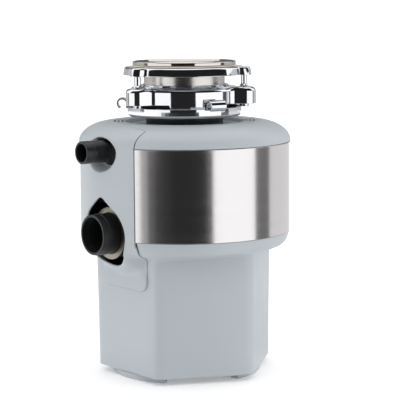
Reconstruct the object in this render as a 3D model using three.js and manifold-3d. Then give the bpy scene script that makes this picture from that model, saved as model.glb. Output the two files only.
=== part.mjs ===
// Kitchen garbage disposal with a three-screw sink mount, built as the separate pieces it comes apart into.
// Millimetres, +Z up. The feet stand on z = 0 and both pipes point along -Y.
import * as THREE from 'three';
import { mergeVertices } from 'three/addons/utils/BufferGeometryUtils.js';
import Module from 'manifold-3d';

const wasm = await Module();
wasm.setup();

// ---- Driving dimensions ----
const LOBED_SEGMENTS = 48; // facets round the lobed rings
const COVER_SEGMENTS = 36; // facets round the outer covers
const CASING_SEGMENTS = 72; // facets round the six-sided lower casing
const SEGMENTS = 20; // facets round other large turned pieces
const PIPE_SEGMENTS = 24; // facets round the pipes
const SMALL_SEGMENTS = 12; // facets round a fastener
const GAP = 0.3; // clearance between pieces that touch

const BODY_R = 114; // steel band and dome edge
const BAND_BOTTOM = 153.7;
const BAND_TOP = 249.5;
const BAND_THICKNESS = 1.4;
const DOME_CREST = 271.5;
const DOME_SHOULDER_R = 80;
const DOME_EDGE = 250;
const DOME_STEPS = 4;
const RECESS_R = 61;
const RECESS_Z = 267;
const WALL = 2.5; // moulded covers

const CASING_R = 95.6; // lower casing before its sides are flattened
// Direction each flat side of the casing faces, and its distance from the axis.
const CASING_SIDES = [[-90, 82], [-25, 83.5], [39.5, 83.5], [90, 100], [140.5, 83.5], [205, 83.5]];
const CORNER_SHARPNESS = 30;
const SKIRT_Z = 6.9;
const SIDES_TOP = 131; // flat sides up to here
const ROUND_FROM = 139; // fully round from here
const FOOT_R = 80;
const FOOT_WIDTH = 10;
const FOOT_SPAN = 70;
const FOOT_ANGLES = [-90, 39.5, 140.5];
const BOTTOM_SCREW_ANGLES = [-25, 90, 205];
const BOTTOM_SCREW_CIRCLE = 70;

const PIPE_REACH = 135.3; // mouth of the dishwasher inlet, from the motor axis
const INLET_Z = 245;
const INLET_R = 11.85;
const INLET_BORE = 9.5;
const OUTLET_Z = 158.3;
const OUTLET_R = 21.25;
const OUTLET_BORE = 18.5;
const OUTLET_REACH = 123;
const PORT_REACH = 92.8;
const FLANGE_SCREW_X = 34;

const COVER_HALF = 47.5; // side cover, half width beside the band
const COVER_BACK = 88; // where the side cover ends on the dome
const PAD_HALF = 40.5;
const PAD_BOTTOM = 98.6;
const PAD_CORNER = 10;
const PAD_DISTANCE = 84.8;
const PAD_BACK = 82.3;
const OPENING_X = 2.5;
const OPENING_Z = 157;
const OPENING_R = 34;
const OPENING_APEX = 197.2;

const SLEEVE_R = 43.5;
const SLEEVE_BORE = 42;
const RIM_R = 55.5;
const RIM_TOP = 335.5;
const RIM_UNDERSIDE = 331.3;
const SCREW_CIRCLE = 66.5;
const SCREW_ANGLES = [34.6, 154.6, 274.6];
const LUG_ANGLES = [-8, 112, 232];
const RING_R = 58.5; // upper mounting ring between its ears
const RING_Z = 308.5; // its flat top
const SKIRT_GAP_HALF = 32; // its skirt is cut back this far each side of an ear, degrees
const EAR_CIRCLE = 67;
const EAR_R = 12.2;
const BACKUP_R = 64.8;
const BACKUP_Z = 329.7;
const LOCK_R = 61.3;
const NECK_R = 41.8;

const CHAMBER_R = 78.9;
const TURNTABLE_R = 64.5;
const TURNTABLE_Z = 190;
const HAMMER_CIRCLE = 43;
const BELL_TOP = 186;
const MOTOR_R = 70;
const MOTOR_BOTTOM = 30;
const MOTOR_TOP = 128;
const SHAFT_R = 7.5;
const BOLT_CIRCLE = 72.9;
const BOLT_ANGLES = [45, 135, 225, 315];
const RESET_X = -48;
const CABLE_Y = 48;
const CAPACITOR_Y = 80.8;
const VENT_RADII = [67, 71, 75];
const VENT_ANGLES = [52, 97, 142, 187, 232];

// ---- Finishes ----
const finish = (color, roughness, metalness) =>
  new THREE.MeshStandardMaterial({ color, roughness, metalness });
const CASING = finish(0xa9b1b5, 0.55, 0);
const CHROME = finish(0xd8dade, 0.12, 1);
const STAINLESS = finish(0xbfbcb8, 0.3, 1);
const ZINC = finish(0xb9bcc0, 0.35, 1);
const BLACK_RUBBER = finish(0x151517, 0.8, 0);
const BLACK_PLASTIC = finish(0x1b1b1d, 0.5, 0);
const FIBRE = finish(0xd9cfbd, 0.9, 0);
const CAST_ALUMINIUM = finish(0x9a9ca0, 0.6, 0.8);
const LAMINATION = finish(0x5d5f63, 0.6, 0.8);
const COPPER = finish(0xa5602c, 0.45, 0.9);
const FOAM = finish(0x232325, 0.95, 0);
const RED_PLASTIC = finish(0xb32020, 0.4, 0);
const BRONZE = finish(0x9c7a45, 0.5, 0.9);

// ---- Helpers ----
const radians = THREE.MathUtils.degToRad;

// A closed outline of [r, z] corners turned about the motor axis.
function turned(corners, segments = SEGMENTS) {
  const points = corners.map(([r, z]) => new THREE.Vector2(r, z));
  if (THREE.ShapeUtils.area(points) < 0) points.reverse();
  points.push(points[0].clone());
  return new THREE.LatheGeometry(points, segments).rotateX(Math.PI / 2);
}

// A profile of [r, reach] corners turned about a horizontal axis at height z, reaching out along -Y.
function turnedPipe(corners, z, segments = PIPE_SEGMENTS) {
  const profile = turned(corners, segments);
  return profile.rotateX(Math.PI / 2).translate(0, 0, z);
}

const ring = (inner, outer, low, high, segments) =>
  turned([[inner, low], [outer, low], [outer, high], [inner, high]], segments);

const rod = (radius, low, high, segments = SMALL_SEGMENTS) =>
  new THREE.CylinderGeometry(radius, radius, high - low, segments)
    .rotateX(Math.PI / 2)
    .translate(0, 0, (low + high) / 2);

// A cylinder along -Y from reach `near` to reach `far`.
const pipeRod = (radius, near, far, x, z, segments = 20) =>
  new THREE.CylinderGeometry(radius, radius, far - near, segments).translate(x, -(near + far) / 2, z);

const block = (low, high) =>
  new THREE.BoxGeometry(high[0] - low[0], high[1] - low[1], high[2] - low[2])
    .translate((low[0] + high[0]) / 2, (low[1] + high[1]) / 2, (low[2] + high[2]) / 2);

const plate = (shape, low, high, curveSegments = 8) =>
  new THREE.ExtrudeGeometry(shape, { depth: high - low, bevelEnabled: false, curveSegments })
    .translate(0, 0, low);

// A shape drawn in x and z, pushed from y = -near to y = -far.
const wallPlate = (shape, near, far, curveSegments = 8) =>
  plate(shape, near, far, curveSegments).rotateX(Math.PI / 2);

function toSolid(geometry) {
  const bare = geometry.clone();
  bare.deleteAttribute('normal');
  bare.deleteAttribute('uv');
  const merged = mergeVertices(bare, 1e-4);
  const corners = merged.index.array;
  const kept = [];
  for (let i = 0; i < corners.length; i += 3) {
    const [a, b, c] = [corners[i], corners[i + 1], corners[i + 2]];
    if (a !== b && b !== c && c !== a) kept.push(a, b, c);
  }
  const triVerts = new Uint32Array(kept);
  return new wasm.Manifold(
    new wasm.Mesh({ numProp: 3, vertProperties: merged.attributes.position.array, triVerts }),
  );
}

function toGeometry(solid) {
  const mesh = solid.getMesh();
  const geometry = new THREE.BufferGeometry();
  geometry.setAttribute('position', new THREE.BufferAttribute(mesh.vertProperties, 3));
  geometry.setIndex(new THREE.BufferAttribute(mesh.triVerts, 1));
  geometry.computeVertexNormals();
  return geometry;
}

const cut = (geometry, ...tools) =>
  toGeometry(tools.reduce((solid, tool) => solid.subtract(toSolid(tool)), toSolid(geometry)));

const join = (geometry, ...others) =>
  toGeometry(others.reduce((solid, other) => solid.add(toSolid(other)), toSolid(geometry)));

const common = (geometry, other) => toGeometry(toSolid(geometry).intersect(toSolid(other)));

// A piece of a flat ring between two directions.
function sector(inner, outer, from, to, low, high, steps) {
  const shape = new THREE.Shape();
  shape.absarc(0, 0, outer, radians(from), radians(to), false);
  shape.absarc(0, 0, inner, radians(to), radians(from), true);
  shape.closePath();
  return plate(shape, low, high, steps);
}

const aroundAxis = (geometry, radius, degrees) => geometry.translate(radius, 0, 0).rotateZ(radians(degrees));

const turnBetween = (a, b) => Math.abs(THREE.MathUtils.euclideanModulo(a - b + 180, 360) - 180);

// Moves every corner of a turned piece to the radius that `reshape(r, degrees, z)` gives.
function reshaped(geometry, reshape) {
  const position = geometry.attributes.position;
  for (let i = 0; i < position.count; i += 1) {
    const [x, y, z] = [position.getX(i), position.getY(i), position.getZ(i)];
    const r = Math.hypot(x, y);
    const scale = r > 0 ? reshape(r, THREE.MathUtils.radToDeg(Math.atan2(y, x)), z) / r : 1;
    position.setXY(i, x * scale, y * scale);
  }
  geometry.computeVertexNormals();
  return geometry;
}

// Radius, in one direction, of a disc with three ear discs melted into it.
function lobedRadius(degrees, base, earCentre, earRadius, blend) {
  const toEar = radians(Math.min(...SCREW_ANGLES.map((a) => turnBetween(degrees, a))));
  const outside = (r) => {
    const fromDisc = r - base;
    const fromEar = Math.hypot(r * Math.cos(toEar) - earCentre, r * Math.sin(toEar)) - earRadius;
    const near = Math.max(blend - Math.abs(fromDisc - fromEar), 0) / blend;
    return Math.min(fromDisc, fromEar) - (near * near * blend) / 4;
  };
  let low = base - 1;
  let high = earCentre + earRadius + blend;
  for (let step = 0; step < 30; step += 1) {
    const middle = (low + high) / 2;
    if (outside(middle) < 0) low = middle;
    else high = middle;
  }
  return low;
}

// Radius of the six-sided casing in one direction, as a share of its round radius.
function sideShare(degrees) {
  let sum = 0;
  for (const [facing, distance] of CASING_SIDES) {
    const lean = Math.max(Math.cos(radians(degrees - facing)), 0);
    sum += ((lean * CASING_R) / distance) ** CORNER_SHARPNESS;
  }
  return sum ** (-1 / CORNER_SHARPNESS);
}

function casingRadius(r, degrees, z) {
  const share = THREE.MathUtils.clamp((ROUND_FROM - z) / (ROUND_FROM - SIDES_TOP), 0, 1);
  return r * (1 - share + share * sideShare(degrees));
}

function domeProfile(inset) {
  const rise = DOME_CREST - DOME_EDGE - inset;
  const reach = BODY_R - DOME_SHOULDER_R - inset;
  const points = [];
  for (let step = 0; step <= DOME_STEPS; step += 1) {
    const angle = (step / DOME_STEPS) * (Math.PI / 2);
    points.push([DOME_SHOULDER_R + reach * Math.cos(angle), DOME_EDGE + rise * Math.sin(angle)]);
  }
  return points;
}

// Outline of the side cover in x and z, grown by `gap`.
function coverOutline(gap) {
  const half = COVER_HALF + gap;
  const pad = PAD_HALF + gap;
  const bottom = PAD_BOTTOM - gap;
  const shape = new THREE.Shape();
  shape.moveTo(-half, 280);
  shape.lineTo(-half, 148);
  shape.bezierCurveTo(-half, 136, -pad, 140, -pad, 126);
  shape.lineTo(-pad, bottom + PAD_CORNER);
  shape.quadraticCurveTo(-pad, bottom, PAD_CORNER - pad, bottom);
  shape.lineTo(pad - PAD_CORNER, bottom);
  shape.quadraticCurveTo(pad, bottom, pad, bottom + PAD_CORNER);
  shape.lineTo(pad, 126);
  shape.bezierCurveTo(pad, 140, half, 136, half, 148);
  shape.lineTo(half, 280);
  shape.closePath();
  return shape;
}

// Teardrop opening round the drain outlet, in x and z.
function teardrop() {
  const tipR = 5;
  const tipZ = OPENING_APEX - tipR;
  const lean = Math.acos((OPENING_R - tipR) / (tipZ - OPENING_Z));
  const start = Math.PI / 2 - lean;
  const shape = new THREE.Shape();
  shape.absarc(OPENING_X, tipZ, tipR, start, Math.PI - start, false);
  shape.absarc(OPENING_X, OPENING_Z, OPENING_R, Math.PI - start, start + 2 * Math.PI, false);
  shape.closePath();
  return shape;
}

// ---- Sink mount ----
const sinkFlange = () => turned([
  [SLEEVE_BORE, 295], [SLEEVE_R, 295], [SLEEVE_R, 302.6], [42.8, 302.6], [42.8, 305.3], [SLEEVE_R, 305.3],
  [SLEEVE_R, 327], [44.6, 329.7], [46.5, RIM_UNDERSIDE], [54.9, RIM_UNDERSIDE], [RIM_R, 331.9], [RIM_R, 334.7],
  [54.7, RIM_TOP], [53.4, RIM_TOP], [51, 333.4], [46, 332.8], [44.3, 331], [SLEEVE_BORE, 327],
]);

const flangeGasket = () => ring(46.8, 56.7, BACKUP_Z + GAP, RIM_UNDERSIDE - GAP);

function backupRing() {
  const cup = turned([
    [62.4, 320.8], [BACKUP_R, 320.8], [BACKUP_R, 326.9], [62.2, BACKUP_Z], [45.6, BACKUP_Z], [45.6, 327.3],
    [62.4, 327.3],
  ], LOBED_SEGMENTS);
  const grow = (degrees) => lobedRadius(degrees, BACKUP_R, 65.5, 8.5, 6) - BACKUP_R;
  return reshaped(cup, (r, degrees) => (r > 60 ? r + grow(degrees) : r));
}

function mountingRing() {
  const cup = turned([
    [55.7, 287.6], [RING_R, 287.6], [RING_R, 304.7], [54, RING_Z], [48.5, RING_Z], [46.4, 310.8], [44.5, 310.8],
    [44.5, 305.4], [55.7, 305.4],
  ], LOBED_SEGMENTS);
  const grow = (degrees) => lobedRadius(degrees, RING_R, EAR_CIRCLE, EAR_R, 12) - RING_R;
  const lobed = reshaped(cup, (r, degrees) => (r > 50 ? r + grow(degrees) : r));
  const holes = SCREW_ANGLES.map((a) => aroundAxis(rod(3.9, 300, 312), SCREW_CIRCLE, a));
  const cutback = (a) => sector(50, 95, a - SKIRT_GAP_HALF, a + SKIRT_GAP_HALF, 286, 290.7, 4);
  return cut(lobed, ...holes, ...SCREW_ANGLES.map(cutback));
}

const snapRing = () => cut(ring(43, 46.3, 303, 305.1), block([-3, 40, 300], [3, 50, 308]));

// Slotted pan head below the ear, shank through it, dog point under the backup ring.
function mountingScrew(degrees) {
  const body = turned([
    [0, 287.6], [4.2, 287.6], [5.2, 288.6], [5.2, 290.6], [3.6, 290.6], [3.6, 325.2], [2.2, 327], [0, 327],
  ], SMALL_SEGMENTS);
  const slot = block([-6, -0.7, 286], [6, 0.7, 289]);
  return aroundAxis(cut(body, slot), SCREW_CIRCLE, degrees);
}

// One rolled lug: a strip that rises from the ring and curls outward into a socket for a turning bar.
function lug(degrees) {
  const curlR = 5.9;
  const curlZ = 290.6;
  const strip = 1.8;
  const curl = new THREE.Shape();
  curl.absarc(66.8, curlZ, curlR, radians(180), radians(-70), true);
  curl.absarc(66.8, curlZ, curlR - strip, radians(-70), radians(180), false);
  curl.closePath();
  const half = 9;
  const socket = plate(curl, -half, half, 6).rotateX(Math.PI / 2);
  const riser = block([LOCK_R - 2, -half, 285], [LOCK_R + 1.2, half, curlZ]);
  return join(socket, riser).rotateZ(radians(degrees));
}

function lockRing() {
  const cup = turned([
    [42.5, 276.9], [57.8, 276.9], [60.3, 277.9], [LOCK_R, 280.4], [LOCK_R, 287.2], [58.8, 287.2], [58.8, 279.4],
    [42.5, 279.4],
  ]);
  return join(cup, ...LUG_ANGLES.map(lug));
}

const mountingGasket = () => turned([
  [38.5, 262.8], [NECK_R, 262.8], [NECK_R, 279.7], [57, 279.7], [57, 284.5], [47.5, 286.5], [47.5, 299.5],
  [43.9, 299.5], [43.9, 294.4], [42.2, 293], [38.5, 287],
]);

function splashBaffle() {
  const cup = turned([
    [39.2, 302], [41.6, 302], [41.6, 327.4], [43.4, 330.4], [42.2, 331.3], [39.2, 327.4], [39.2, 306], [13, 300],
    [13, 297.6],
  ]);
  const slits = [];
  for (let index = 0; index < 8; index += 1) {
    slits.push(block([12, -0.6, 290], [33, 0.6, 310]).rotateZ(radians(22.5 + index * 45)));
  }
  return cut(cup, ...slits);
}

// ---- Outer covers ----
function topCover() {
  const shell = turned([
    [BODY_R - WALL, DOME_EDGE], ...domeProfile(0), [66, DOME_CREST], [63, 270.6], [RECESS_R, RECESS_Z],
    [42.4, RECESS_Z], [42.4, RECESS_Z - WALL], [62.6, RECESS_Z - WALL], [65, 269],
    ...domeProfile(WALL).slice(1).reverse(),
  ], COVER_SEGMENTS);
  const slots = [];
  for (const r of VENT_RADII) {
    for (const a of VENT_ANGLES) slots.push(sector(r - 0.9, r + 0.9, a - 18, a + 18, 262, 275, 2));
  }
  const window = block([-COVER_HALF - GAP, -130, 240], [COVER_HALF + GAP, -COVER_BACK, 290]);
  return cut(shell, window, ...slots);
}

const steelBand = () => cut(
  ring(BODY_R - BAND_THICKNESS, BODY_R, BAND_BOTTOM, BAND_TOP, COVER_SEGMENTS),
  block([-COVER_HALF - GAP, -130, 100], [COVER_HALF + GAP, 0, 300]),
);

function lowerCasing() {
  const shell = turned([
    [91.2, SKIRT_Z], [94.2, SKIRT_Z], [94.9, 70], [CASING_R, 130], [96, 134], [104.5, ROUND_FROM], [110, 145],
    [113, 153.2], [110, 153.2], [107.4, 146.8], [102.7, 141.7], [94, 136.8], [92.6, 130],
  ], CASING_SEGMENTS);
  const above = wallPlate(coverOutline(GAP), 0, 140);
  const window = common(above, block([-60, -150, 118.3], [60, 0, 300]));
  return cut(reshaped(shell, casingRadius), window);
}

// The cover follows the dome and the band, scoops in under the belly and ends in a flat pad on the front side.
function sideCover() {
  const outer = [
    [PAD_DISTANCE, PAD_BOTTOM], [PAD_DISTANCE, 117], [90, 124], [101, 131.5], [110, 139], [BODY_R, 147],
    [BODY_R, 200], ...domeProfile(0).slice(0, DOME_STEPS),
  ];
  const inner = [
    ...domeProfile(3).slice(0, DOME_STEPS).reverse(), [111, 200], [111, 148], [107, 141.5], [98.2, 134.5],
    [87.4, 127.2], [PAD_BACK, 119], [PAD_BACK, PAD_BOTTOM],
  ];
  const flat = (r, degrees, z) => {
    const share = THREE.MathUtils.clamp((ROUND_FROM - z) / 19, 0, 1);
    const fromNormal = Math.min(turnBetween(degrees, -90), 60);
    return r * (1 - share + share / Math.cos(radians(fromNormal)));
  };
  const shell = reshaped(turned([...outer, ...inner], COVER_SEGMENTS), flat);
  const front = common(wallPlate(coverOutline(0), COVER_BACK - 40, 140), block([-60, -150, 90], [60, -40, 262]));
  const top = block([-COVER_HALF, -150, 200], [COVER_HALF, -COVER_BACK - GAP, 290]);
  const trimmed = common(shell, join(front, top));
  const filled = turned([[0, 200], [BODY_R, 200], ...domeProfile(0), [0, DOME_CREST]], COVER_SEGMENTS);
  const boss = common(pipeRod(24, 97.4, BODY_R, 0, INLET_Z), filled);
  const dish = turnedPipe([[0, 100.5], [17.5, 100.5], [20, 105], [21.5, 116], [0, 116]], INLET_Z);
  const bore = pipeRod(15.2, 90, 120, 0, INLET_Z);
  return cut(join(trimmed, boss), dish, bore, wallPlate(teardrop(), 60, 140));
}

function insulation() {
  const sleeve = turned([[89.5, 157], [107, 157], [111.8, 162], [111.8, 247], [89.5, 247]]);
  const frontRoom = block([-52, -130, 100], [52, -97, 300]);
  const flangeRoom = block([-44, -130, 100], [44, 0, 189]);
  const inletRoom = pipeRod(26, 60, 130, 0, INLET_Z);
  return cut(sleeve, frontRoom, flangeRoom, inletRoom);
}

// An arc-shaped foot that steps in where it meets the plate, clear of the casing's edge.
function foot(degrees) {
  const from = degrees - FOOT_SPAN / 2;
  const to = degrees + FOOT_SPAN / 2;
  const inner = FOOT_R - FOOT_WIDTH;
  return join(
    sector(inner, FOOT_R, from, to, 0, SKIRT_Z - GAP, 5),
    sector(inner, FOOT_R - 3.2, from, to, SKIRT_Z - 2, 8, 5),
  );
}

// Six-sided plate inside the skirt, with arc feet, screw posts and holes for the wrench, button and cable.
function bottomCover() {
  const disc = turned([[0, 7], [90, 7], [90, 9.5], [0, 9.5]], CASING_SEGMENTS);
  const floor = reshaped(disc, (r, degrees) => r * sideShare(degrees));
  const posts = BOTTOM_SCREW_ANGLES.map((a) => aroundAxis(rod(5, 8, 19.7), BOTTOM_SCREW_CIRCLE, a));
  const screwHoles = BOTTOM_SCREW_ANGLES.map((a) => aroundAxis(rod(2.4, 0, 25, 8), BOTTOM_SCREW_CIRCLE, a));
  const wrenchHole = rod(10, 0, 20, 16);
  const buttonHole = rod(4.9, 0, 20).translate(RESET_X, 0, 0);
  const cableHole = rod(10.6, 0, 20, 16).translate(0, CABLE_Y, 0);
  const body = join(floor, ...FOOT_ANGLES.map(foot), ...posts);
  return cut(body, ...screwHoles, wrenchHole, buttonHole, cableHole);
}

const bottomScrew = (degrees) => aroundAxis(turned([
  [0, 4.4], [3.6, 4.4], [4, 5], [4, 6.7], [2, 6.7], [2, 23.5], [0, 23.5],
], 8), BOTTOM_SCREW_CIRCLE, degrees);

const cableBush = () => turned([
  [6, 4.8], [13, 4.8], [13, 6.7], [10, 6.7], [10, 9.8], [12.4, 9.8], [12.4, 12], [6, 12],
], 16).translate(0, CABLE_Y, 0);

// ---- Grinding end ----
function chamber() {
  const body = turned([
    [35.8, 281], [38.2, 281], [38.2, 261.8], [60, 260.4], [72, 258.8], [77.4, 256], [CHAMBER_R, 252],
    [CHAMBER_R, 213.5], [86, 213.5], [86, 210.5], [76.6, 210.5], [76.6, 251.4], [75.4, 254], [71, 256.5],
    [60, 258], [35.8, 259.6],
  ]);
  return cut(body, pipeRod(INLET_BORE, 60, 90, 0, INLET_Z, 16));
}

// Stationary ring with upright teeth on its inner wall.
function grindRing() {
  const outline = new THREE.Shape();
  outline.absarc(0, 0, 80, 0, 2 * Math.PI, false);
  const teeth = 24;
  const inner = [];
  for (let index = 0; index < teeth * 4; index += 1) {
    const angle = (index / (teeth * 4)) * 2 * Math.PI;
    const radius = index % 4 < 2 ? 66.5 : 70;
    inner.push(new THREE.Vector2(radius * Math.cos(angle), radius * Math.sin(angle)));
  }
  outline.holes.push(new THREE.Path(inner));
  return plate(outline, BELL_TOP + GAP, 210.2, 16);
}

const clampBand = () => turned([
  [81, 181.2], [88, 181.2], [88, 215.3], [81, 215.3], [81, 213.8], [86.4, 213.8], [86.4, 182.7], [81, 182.7],
]);

function turntable() {
  const disc = turned([
    [7, TURNTABLE_Z], [62.5, TURNTABLE_Z], [TURNTABLE_R, TURNTABLE_Z + 2], [TURNTABLE_R, TURNTABLE_Z + 6],
    [62.3, TURNTABLE_Z + 6], [61, TURNTABLE_Z + 2.5], [7, TURNTABLE_Z + 2.5],
  ]);
  const holes = [0, 180].map((a) => aroundAxis(rod(3.4, 180, 200), HAMMER_CIRCLE, a));
  for (let index = 0; index < 8; index += 1) {
    holes.push(aroundAxis(rod(3, 180, 200, 8), 54, 22.5 + index * 45));
  }
  return cut(disc, ...holes);
}

// Swivelling impeller: a flat tail round the rivet with an upright striking face at the outer end.
function hammer(degrees) {
  const low = TURNTABLE_Z + 2.8;
  const tail = new THREE.Shape();
  tail.moveTo(-9, -7);
  tail.lineTo(14, -6);
  tail.lineTo(16.5, 0);
  tail.lineTo(14, 6);
  tail.lineTo(-9, 7);
  tail.closePath();
  const body = join(plate(tail, low, low + 3.2), block([6, -5, low + 1], [13, 5, low + 14]));
  return aroundAxis(cut(body, rod(3.4, low - 2, low + 6)), HAMMER_CIRCLE, degrees);
}

const hammerPin = (degrees) => aroundAxis(turned([
  [0, 187.6], [5, 187.6], [5, 189.7], [3, 189.7], [3, 196.4], [5, 196.4], [4.2, 198.2], [0, 198.2],
], SMALL_SEGMENTS), HAMMER_CIRCLE, degrees);

const turntableNut = () => cut(rod(11.5, TURNTABLE_Z + 2.8, TURNTABLE_Z + 9, 6), rod(6.75, 180, 210, 24));

// Drain chamber and motor end plate in one casting, with the outlet port on its side.
function upperEndBell() {
  const bell = turned([
    [72.5, BELL_TOP], [72.5, 143], [64, 139.5], [28, 143], [22, 150], [22, 172], [16.5, 172], [16.5, 158],
    [9, 158], [9, 153], [14.3, 153], [14.3, 130], [20, 130], [24, 137], [62, 134.5], [66.5, MOTOR_TOP + 0.6],
    [77.5, MOTOR_TOP + 0.6], [77.5, 139], [77, 142], [77, 183], [86, 183], [86, BELL_TOP],
  ]);
  const port = join(
    pipeRod(22.5, 70, PORT_REACH, 0, OUTLET_Z),
    pipeRod(26, 88, PORT_REACH, 0, OUTLET_Z),
    block([-FLANGE_SCREW_X, -PORT_REACH, OUTLET_Z - 7], [FLANGE_SCREW_X, -84, OUTLET_Z + 7]),
    pipeRod(7, 84, PORT_REACH, -FLANGE_SCREW_X, OUTLET_Z, 12),
    pipeRod(7, 84, PORT_REACH, FLANGE_SCREW_X, OUTLET_Z, 12),
  );
  const boltHoles = BOLT_ANGLES.map((a) => aroundAxis(rod(2.6, 120, 137.5, 8), BOLT_CIRCLE, a));
  const screwHoles = [-1, 1].map((side) => pipeRod(2.5, 85, 100, side * FLANGE_SCREW_X, OUTLET_Z, 8));
  const bore = pipeRod(OUTLET_BORE, 40, 100, 0, OUTLET_Z);
  const insideBell = cut(bore, rod(22.2, 120, 200, SEGMENTS));
  return cut(join(bell, cut(port, rod(73.4, 100, 220, SEGMENTS))), insideBell, ...boltHoles, ...screwHoles);
}

const shaftSeal = () => turned([
  [SHAFT_R + GAP, 160], [16.2, 160], [16.2, 172], [18, 174.5], [SHAFT_R + GAP, 176],
], 16);

const upperBearing = () => ring(SHAFT_R + GAP, 14, 134, 150, 16);
const lowerBearing = () => ring(6.35 + GAP, 14, 19, 33, 16);

// ---- Motor ----
function motorShaft() {
  const shaft = turned([
    [0, 11], [6.35, 11], [6.35, 34], [8, 35], [8, 128], [SHAFT_R, 129], [SHAFT_R, 189.6], [6.35, 189.6],
    [6.35, 201], [0, 201],
  ], 16);
  return cut(shaft, rod(3.7, 5, 20, 6));
}

const rotorCore = () => ring(8 + GAP, 37, 50, 110, 24);

function statorCore() {
  const outline = new THREE.Shape();
  outline.absarc(0, 0, 67, 0, 2 * Math.PI, false);
  const slots = 18;
  const inner = [];
  for (let index = 0; index < slots * 4; index += 1) {
    const angle = (index / (slots * 4)) * 2 * Math.PI;
    const radius = index % 4 < 2 ? 38 : 52;
    inner.push(new THREE.Vector2(radius * Math.cos(angle), radius * Math.sin(angle)));
  }
  outline.holes.push(new THREE.Path(inner));
  return plate(outline, 50, 110, 12);
}

const windingEnd = (low, high) => turned([
  [41, low], [64, low], [64, high - 3], [60, high], [44, high], [41, high - 3],
], 24);

const motorShell = () => ring(68.3, MOTOR_R, MOTOR_BOTTOM, MOTOR_TOP);

function lowerEndBell() {
  const bell = turned([
    [7, 14.5], [18, 14.5], [24, 22], [60, 23], [66, 20], [77.2, 20], [77.2, 25], [72, 29.6], [64, 29.6],
    [60, 27.5], [26, 26.5], [18.5, 34], [14.3, 34], [14.3, 18.7], [7, 18.7],
  ]);
  const boltHoles = BOLT_ANGLES.map((a) => aroundAxis(rod(2.6, 10, 40, 8), BOLT_CIRCLE, a));
  const screwHoles = BOTTOM_SCREW_ANGLES.map((a) => aroundAxis(rod(2.3, 10, 24, 8), BOTTOM_SCREW_CIRCLE, a));
  return cut(bell, ...boltHoles, ...screwHoles);
}

const throughBolt = (degrees) => aroundAxis(turned([
  [0, 15.6], [4.2, 15.6], [4.2, 19.7], [2.2, 19.7], [2.2, 136.5], [0, 136.5],
], 8), BOLT_CIRCLE, degrees);

const capacitor = () => turned([[0, 40], [8.2, 40], [8.2, 104], [7.4, 106], [0, 106]], 16)
  .translate(0, CAPACITOR_Y, 0);

function overloadProtector() {
  const box = block([RESET_X - 9, -13, 12.6], [RESET_X + 9, 13, 19.6]);
  return cut(box, rod(4.6, 10, 17.6).translate(RESET_X, 0, 0));
}

const resetButton = () => turned([
  [0, 3.4], [3.6, 3.4], [4.2, 4.2], [4.2, 10.2], [3, 10.2], [3, 13.6], [0, 13.6],
], SMALL_SEGMENTS).translate(RESET_X, 0, 0);

// ---- Pipes ----
function dishwasherInlet() {
  const barbs = [];
  for (let index = 0; index < 3; index += 1) {
    const start = 107 + index * 6;
    barbs.push([INLET_R - 0.5, start], [INLET_R, start + 0.6]);
  }
  return turnedPipe([
    [INLET_BORE, 79.7], [INLET_R, 79.7], [INLET_R, 99], [14.5, 99], [14.5, 101.6], [INLET_R - 0.5, 101.6],
    ...barbs, [INLET_R, PIPE_REACH], [INLET_BORE, PIPE_REACH],
  ], INLET_Z);
}

const knockoutPlug = () => pipeRod(INLET_BORE - GAP, 81, 83.5, 0, INLET_Z, 16);

const outletGasket = () => turnedPipe([
  [OUTLET_BORE, PORT_REACH + GAP], [26, PORT_REACH + GAP], [26, 95.6], [OUTLET_BORE, 95.6],
], OUTLET_Z);

const outletPipe = () => turnedPipe([
  [OUTLET_BORE, 95.9], [26, 95.9], [26, 98.4], [OUTLET_R, 98.4], [OUTLET_R, 111], [22.4, 111.4], [22.4, 114.6],
  [OUTLET_R, 115], [OUTLET_R, OUTLET_REACH - 0.8], [OUTLET_R - 0.8, OUTLET_REACH], [OUTLET_BORE, OUTLET_REACH],
], OUTLET_Z);

function outletFlange() {
  const body = join(
    pipeRod(27.5, 98.7, 101.2, 0, OUTLET_Z),
    block([-FLANGE_SCREW_X, -101.2, OUTLET_Z - 7], [FLANGE_SCREW_X, -98.7, OUTLET_Z + 7]),
    pipeRod(7, 98.7, 101.2, -FLANGE_SCREW_X, OUTLET_Z, 12),
    pipeRod(7, 98.7, 101.2, FLANGE_SCREW_X, OUTLET_Z, 12),
  );
  const screwHoles = [-1, 1].map((side) => pipeRod(2.5, 90, 110, side * FLANGE_SCREW_X, OUTLET_Z, 8));
  return cut(body, pipeRod(OUTLET_R + 0.5, 90, 110, 0, OUTLET_Z), ...screwHoles);
}

const outletScrew = (side) => turnedPipe([
  [0, 86], [2.2, 86], [2.2, 101.5], [4.2, 101.5], [4.2, 103], [3.4, 103.5], [0, 103.5],
], OUTLET_Z, SMALL_SEGMENTS).translate(side * FLANGE_SCREW_X, 0, 0);

// ---- Assembly ----
const disposal = new THREE.Group();
const onMotorAxis = new THREE.Group();
onMotorAxis.position.y = (PIPE_REACH - BODY_R) / 2;
disposal.add(onMotorAxis);

function add(name, geometry, material) {
  const mesh = new THREE.Mesh(geometry, material);
  mesh.name = name;
  onMotorAxis.add(mesh);
}

add('sink_flange', sinkFlange(), STAINLESS);
add('flange_gasket', flangeGasket(), FIBRE);
add('backup_ring', backupRing(), CHROME);
add('mounting_ring', mountingRing(), CHROME);
add('snap_ring', snapRing(), ZINC);
SCREW_ANGLES.forEach((a, index) => add(`mounting_screw_${index + 1}`, mountingScrew(a), CHROME));
add('lock_ring', lockRing(), CHROME);
add('mounting_gasket', mountingGasket(), BLACK_RUBBER);
add('splash_baffle', splashBaffle(), BLACK_RUBBER);

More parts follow.
